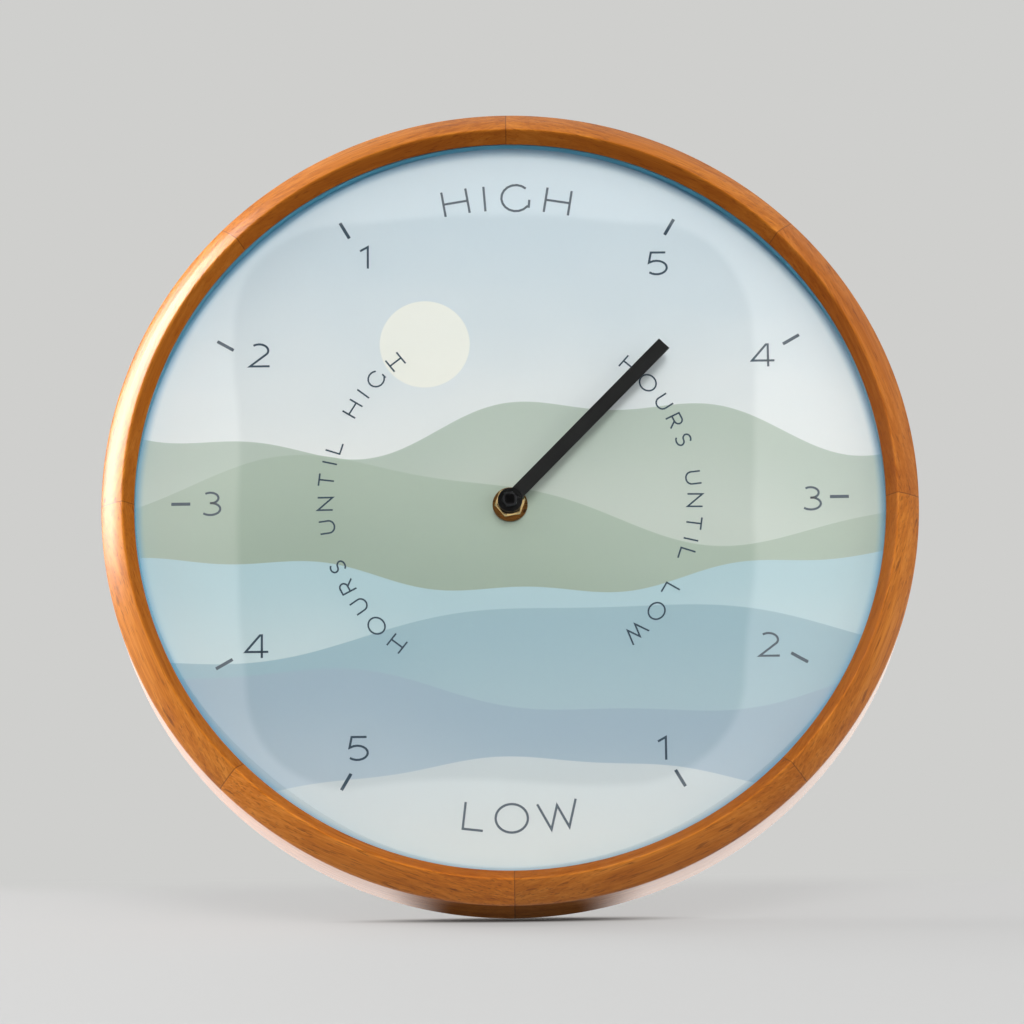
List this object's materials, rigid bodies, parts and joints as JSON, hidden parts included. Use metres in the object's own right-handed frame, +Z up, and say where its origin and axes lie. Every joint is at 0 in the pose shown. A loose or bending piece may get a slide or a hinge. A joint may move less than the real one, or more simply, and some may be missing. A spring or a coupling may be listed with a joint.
{
  "type": "tide clock",
  "caption": "Round tide clock: mitred wooden frame, domed glass, printed dial, single hand and a geared quartz movement with rear setting knob, battery bay and wall hanger.",
  "frame": {"origin": "on the hand's axis, at half of the frame's depth", "axes": "+Z up through 12 o'clock, the dial looks along -Y, +X to the right as seen from the front"},
  "size_m": [0.3, 0.035, 0.3],
  "materials": {
    "wood_a": "satin lacquer",
    "wood_b": "satin lacquer",
    "glass": "polished",
    "spacer": "satin",
    "dial": "printed, matt",
    "fibreboard": "raw",
    "steel": "zinc plated",
    "bronze": "dull",
    "brass": "bright",
    "black_plastic": "moulded",
    "rubber": "matt",
    "white_plastic": "moulded",
    "pinion_steel": "moulded",
    "spring_steel": "plated",
    "magnet": "sintered",
    "copper": "enamelled wire",
    "board_resin": "lacquered",
    "chip_resin": "epoxy",
    "crystal_can": "plated",
    "battery_jacket": "film jacket",
    "black_metal": "satin black"
  },
  "bodies": {
    "clock_body": {"frame_segment_1": "wood_a", "frame_segment_2": "wood_b", "frame_segment_3": "wood_a", "frame_segment_4": "wood_b", "frame_segment_5": "wood_a", "frame_segment_6": "wood_b", "frame_segment_7": "wood_a", "frame_segment_8": "wood_b", "glass_lens": "glass", "spacer_ring": "spacer", "dial_print": "dial", "dial_board": "fibreboard", "board_screws": "steel", "shaft_washer": "bronze", "shaft_nut": "brass", "threaded_bushing": "brass", "movement_case": "black_plastic", "case_gasket": "rubber", "hanger_plate": "steel", "movement_cover": "black_plastic", "cover_screws": "steel", "train_bridge": "white_plastic", "bridge_screws": "steel", "stator": "steel", "coil_core": "steel", "coil_bobbin": "white_plastic", "coil_winding": "copper", "circuit_board": "board_resin", "clock_chip": "chip_resin", "quartz_crystal": "crystal_can", "plus_contact": "spring_steel", "minus_contact": "spring_steel"},
    "hand_arbor": {"tide_wheel": "white_plastic", "tide_hand": "black_metal", "hand_cap_nut": "black_metal"},
    "setting_arbor": {"setting_wheel": "white_plastic", "setting_knob": "black_plastic"},
    "minute_arbor": {"minute_pinion": "pinion_steel", "friction_spring": "spring_steel"},
    "minute_drive": {"minute_wheel": "white_plastic"},
    "third_arbor": {"third_wheel": "white_plastic"},
    "second_arbor": {"second_wheel": "white_plastic"},
    "first_arbor": {"first_wheel": "white_plastic"},
    "rotor": {"rotor_pinion": "pinion_steel", "rotor_magnet": "magnet"},
    "battery_cell": {"battery": "battery_jacket"}
  },
  "joints": [
    {"name": "tide_turn", "type": "hinge", "parent": "clock_body", "child": "hand_arbor", "pos_m": [0, 0, 0], "axis": [0, 1, 0], "continuous": true},
    {"name": "setting_turn", "type": "hinge", "parent": "clock_body", "child": "setting_arbor", "pos_m": [0, 0, 0.0117], "axis": [0, 1, 0], "continuous": true},
    {"name": "minute_turn", "type": "hinge", "parent": "clock_body", "child": "minute_arbor", "pos_m": [0.00866, 0, 0.0067], "axis": [0, 1, 0], "continuous": true},
    {"name": "rotor_turn", "type": "hinge", "parent": "clock_body", "child": "rotor", "pos_m": [0.01757, 0, 0.01932], "axis": [0, 1, 0], "continuous": true},
    {"name": "first_turn", "type": "hinge", "parent": "clock_body", "child": "first_arbor", "pos_m": [0.01139, 0, 0.01603], "axis": [0, 1, 0], "continuous": true},
    {"name": "second_turn", "type": "hinge", "parent": "clock_body", "child": "second_arbor", "pos_m": [0.01727, 0, 0.01109], "axis": [0, 1, 0], "continuous": true},
    {"name": "third_turn", "type": "hinge", "parent": "clock_body", "child": "third_arbor", "pos_m": [0.01668, 0, 0.00261], "axis": [0, 1, 0], "continuous": true},
    {"name": "drive_turn", "type": "hinge", "parent": "clock_body", "child": "minute_drive", "pos_m": [0.00866, 0, 0.0067], "axis": [0, 1, 0], "continuous": true},
    {"name": "battery_lift", "type": "slide", "parent": "clock_body", "child": "battery_cell", "axis": [0, 1, 0], "range_m": [0, 0.02]}
  ],
  "couplings": [
    {"joint": "setting_turn", "follows": "tide_turn", "ratio": -3.1053},
    {"joint": "minute_turn", "follows": "tide_turn", "ratio": 12.421},
    {"joint": "first_turn", "follows": "rotor_turn", "ratio": -0.16667},
    {"joint": "second_turn", "follows": "rotor_turn", "ratio": 0.033333},
    {"joint": "third_turn", "follows": "rotor_turn", "ratio": -0.0044444},
    {"joint": "drive_turn", "follows": "rotor_turn", "ratio": 0.00055556}
  ]
}
